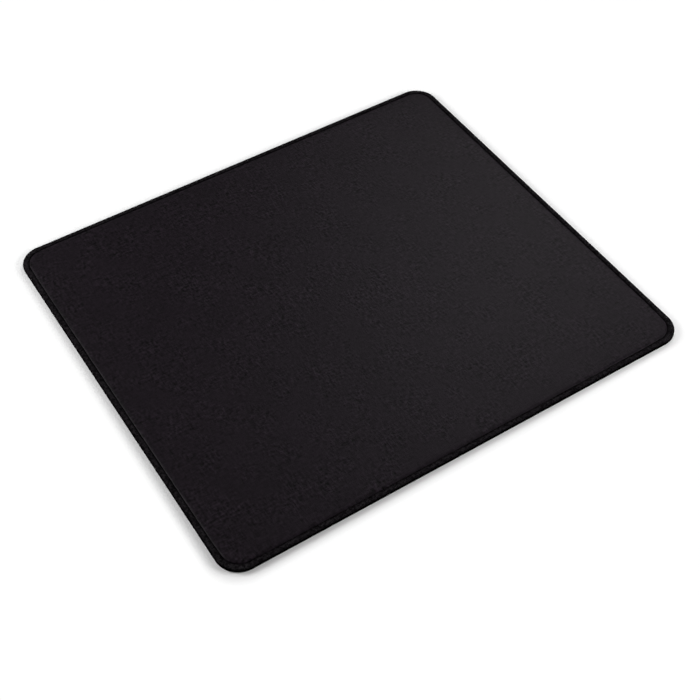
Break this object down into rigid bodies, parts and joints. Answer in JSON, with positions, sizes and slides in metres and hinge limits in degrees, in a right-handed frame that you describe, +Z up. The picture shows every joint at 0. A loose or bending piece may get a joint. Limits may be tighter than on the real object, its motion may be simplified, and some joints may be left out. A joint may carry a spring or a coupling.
{
  "type": "mouse pad",
  "caption": "Flat rectangular mouse pad with rounded corners: woven cloth bonded to foam rubber, its edge bound all round by an overlock seam.",
  "frame": {"origin": "middle of the underside, on the desk", "axes": "+X to the right along the long front edge, +Y from the front edge to the back, +Z up out of the cloth"},
  "size_m": [0.45, 0.4, 0.0045],
  "materials": {
    "foam_rubber": "matte",
    "adhesive": "satin",
    "cloth": "matte",
    "thread": "matte"
  },
  "bodies": {
    "root": {"foam_rubber_base": "foam_rubber", "adhesive_film": "adhesive", "woven_cloth_top": "cloth", "lower_looper_thread": "thread", "upper_looper_thread": "thread", "needle_thread": "thread"}
  },
  "joints": []
}
